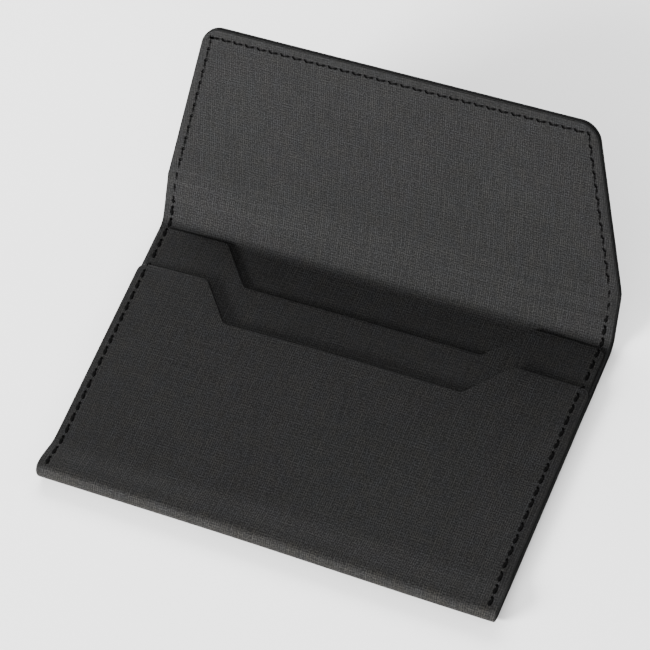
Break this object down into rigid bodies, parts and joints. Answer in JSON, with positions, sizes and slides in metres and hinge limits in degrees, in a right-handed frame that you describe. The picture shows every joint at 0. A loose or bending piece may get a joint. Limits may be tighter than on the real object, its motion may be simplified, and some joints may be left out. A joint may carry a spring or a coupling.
{
  "type": "business card case",
  "caption": "Flap-over card case of linen-grain sheet: two notched pockets, creased spine, tapered flap, hidden magnet closure, lockstitched edge seam.",
  "frame": {"origin": "centre of the back panel's outer face, which the case lies on", "axes": "+X across the case, +Y from the bottom fold up the back towards the flap, +Z out of the back through the pockets"},
  "size_m": [0.105, 0.0937, 0.0391],
  "materials": {
    "cover": "matte black coated sheet with a fine embossed linen grain",
    "lining": "matte black coated sheet with a fine embossed linen grain",
    "board": "grey-brown pressed fibre board",
    "thread": "black twisted polyester thread",
    "edge_coat": "semi-gloss black edge paint",
    "magnet": "flexible magnet plate, dark grey",
    "keeper": "thin bright steel plate"
  },
  "bodies": {
    "case_body": {"back_cover": "cover", "back_board": "board", "back_lining": "lining", "divider_panel": "cover", "pocket_lining": "lining", "bottom_fold": "cover", "pocket_cover": "cover", "pocket_keeper": "keeper", "body_needle_thread": "thread", "body_bobbin_thread": "thread", "body_edge_coat": "edge_coat"},
    "spine": {"spine_cover": "cover", "spine_board": "board", "spine_lining": "lining", "spine_needle_thread": "thread", "spine_bobbin_thread": "thread", "spine_edge_coat": "edge_coat"},
    "flap": {"flap_cover": "cover", "flap_board": "board", "flap_lining": "lining", "flap_magnet": "magnet", "flap_needle_thread": "thread", "flap_bobbin_thread": "thread", "flap_edge_coat": "edge_coat"}
  },
  "joints": [
    {"name": "lower_crease", "type": "hinge", "parent": "case_body", "child": "spine", "pos_m": [0, 0.0318, 0.0015], "axis": [1, 0, 0], "range_deg": [-44, 46]},
    {"name": "upper_crease", "type": "hinge", "parent": "spine", "child": "flap", "pos_m": [0, 0.03971, 0.00914], "axis": [1, 0, 0], "range_deg": [-11, 93]}
  ]
}
